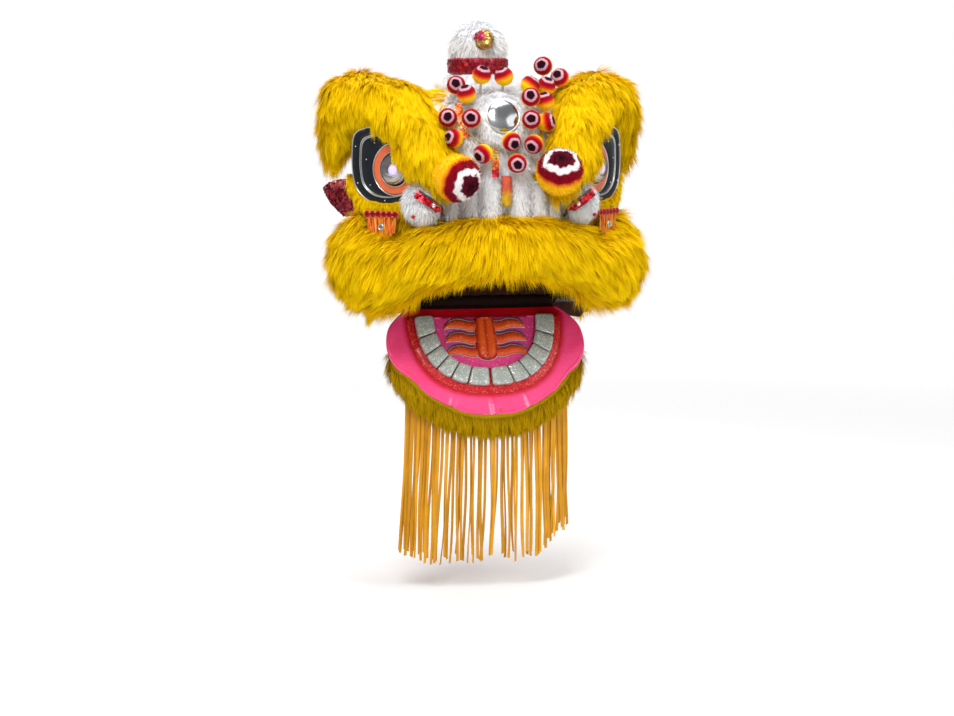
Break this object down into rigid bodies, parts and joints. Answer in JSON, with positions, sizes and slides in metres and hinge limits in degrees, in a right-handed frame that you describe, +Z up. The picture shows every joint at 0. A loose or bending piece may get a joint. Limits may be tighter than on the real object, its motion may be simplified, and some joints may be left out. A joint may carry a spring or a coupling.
{
  "type": "lion dance head",
  "caption": "Hollow fur-covered lion dance head with fat brows, big eyes, horn, mirror and pompoms, and a lower jaw with teeth, tongue and a ribbon beard that swings on a rod.",
  "frame": {"origin": "middle of the wooden carrying bar across the inside of the head", "axes": "+Z up as carried, the lion faces -Y, X across from its right cheek (-X) to its left cheek (+X)"},
  "size_m": [0.6832, 0.5712, 1.1026],
  "materials": {
    "yellow_fur": "long-pile bright yellow fur",
    "white_fur": "long-pile white fur",
    "yellow_cloth": "short-pile yellow plush over papier-mache",
    "amber_fringe": "flat glossy ribbon strips",
    "black_vinyl": "glossy black vinyl",
    "orange_vinyl": "satin orange vinyl",
    "mirror_silver": "silvered dome",
    "pink_vinyl": "glossy pink vinyl over board",
    "red_glitter": "red glitter vinyl",
    "silver_glitter": "silver glitter vinyl",
    "gold_sequin": "gold sequins",
    "maroon_sequin": "maroon sequins",
    "pompom_wool": "banded wool pompom",
    "wood": "varnished wooden bar",
    "steel": "bare steel rod"
  },
  "bodies": {
    "head": {"brow_left": "yellow_fur", "brow_right": "yellow_fur", "carry_bar": "wood", "ear_left": "maroon_sequin", "ear_right": "maroon_sequin", "eye_ball_left": "mirror_silver", "eye_ball_right": "mirror_silver", "eye_iris_left": "orange_vinyl", "eye_iris_right": "orange_vinyl", "eye_socket_left": "black_vinyl", "eye_socket_right": "black_vinyl", "horn_cap": "white_fur", "horn_collar": "maroon_sequin", "horn_foot": "white_fur", "horn_tip": "gold_sequin", "jaw_rod": "steel", "large_pompom_01": "pompom_wool", "large_pompom_02": "pompom_wool", "lid_fringe_left": "amber_fringe", "lid_fringe_right": "amber_fringe", "lip_roll": "yellow_fur", "lower_lid_left": "yellow_fur", "lower_lid_right": "yellow_fur", "mirror": "mirror_silver", "mirror_boss": "white_fur", "nose": "white_fur", "nose_strip": "orange_vinyl", "nostril_left": "white_fur", "nostril_right": "white_fur", "pompom_01": "pompom_wool", "pompom_02": "pompom_wool", "pompom_03": "pompom_wool", "pompom_04": "pompom_wool", "pompom_05": "pompom_wool", "pompom_06": "pompom_wool", "pompom_07": "pompom_wool", "pompom_08": "pompom_wool", "pompom_09": "pompom_wool", "pompom_10": "pompom_wool", "pompom_11": "pompom_wool", "pompom_12": "pompom_wool", "pompom_13": "pompom_wool", "pompom_14": "pompom_wool", "pompom_15": "pompom_wool", "pompom_16": "pompom_wool", "pompom_17": "pompom_wool", "pompom_18": "pompom_wool", "pompom_19": "pompom_wool", "shell": "yellow_cloth"},
    "jaw": {"jaw_board": "pink_vinyl", "gum": "red_glitter", "teeth": "silver_glitter", "palate": "pink_vinyl", "tongue": "orange_vinyl", "jaw_fur": "yellow_fur", "beard": "amber_fringe"}
  },
  "joints": [
    {"name": "jaw_hinge", "type": "hinge", "parent": "head", "child": "jaw", "pos_m": [0, -0.01, -0.06], "axis": [-1, 0, 0], "range_deg": [-6, 50]}
  ]
}
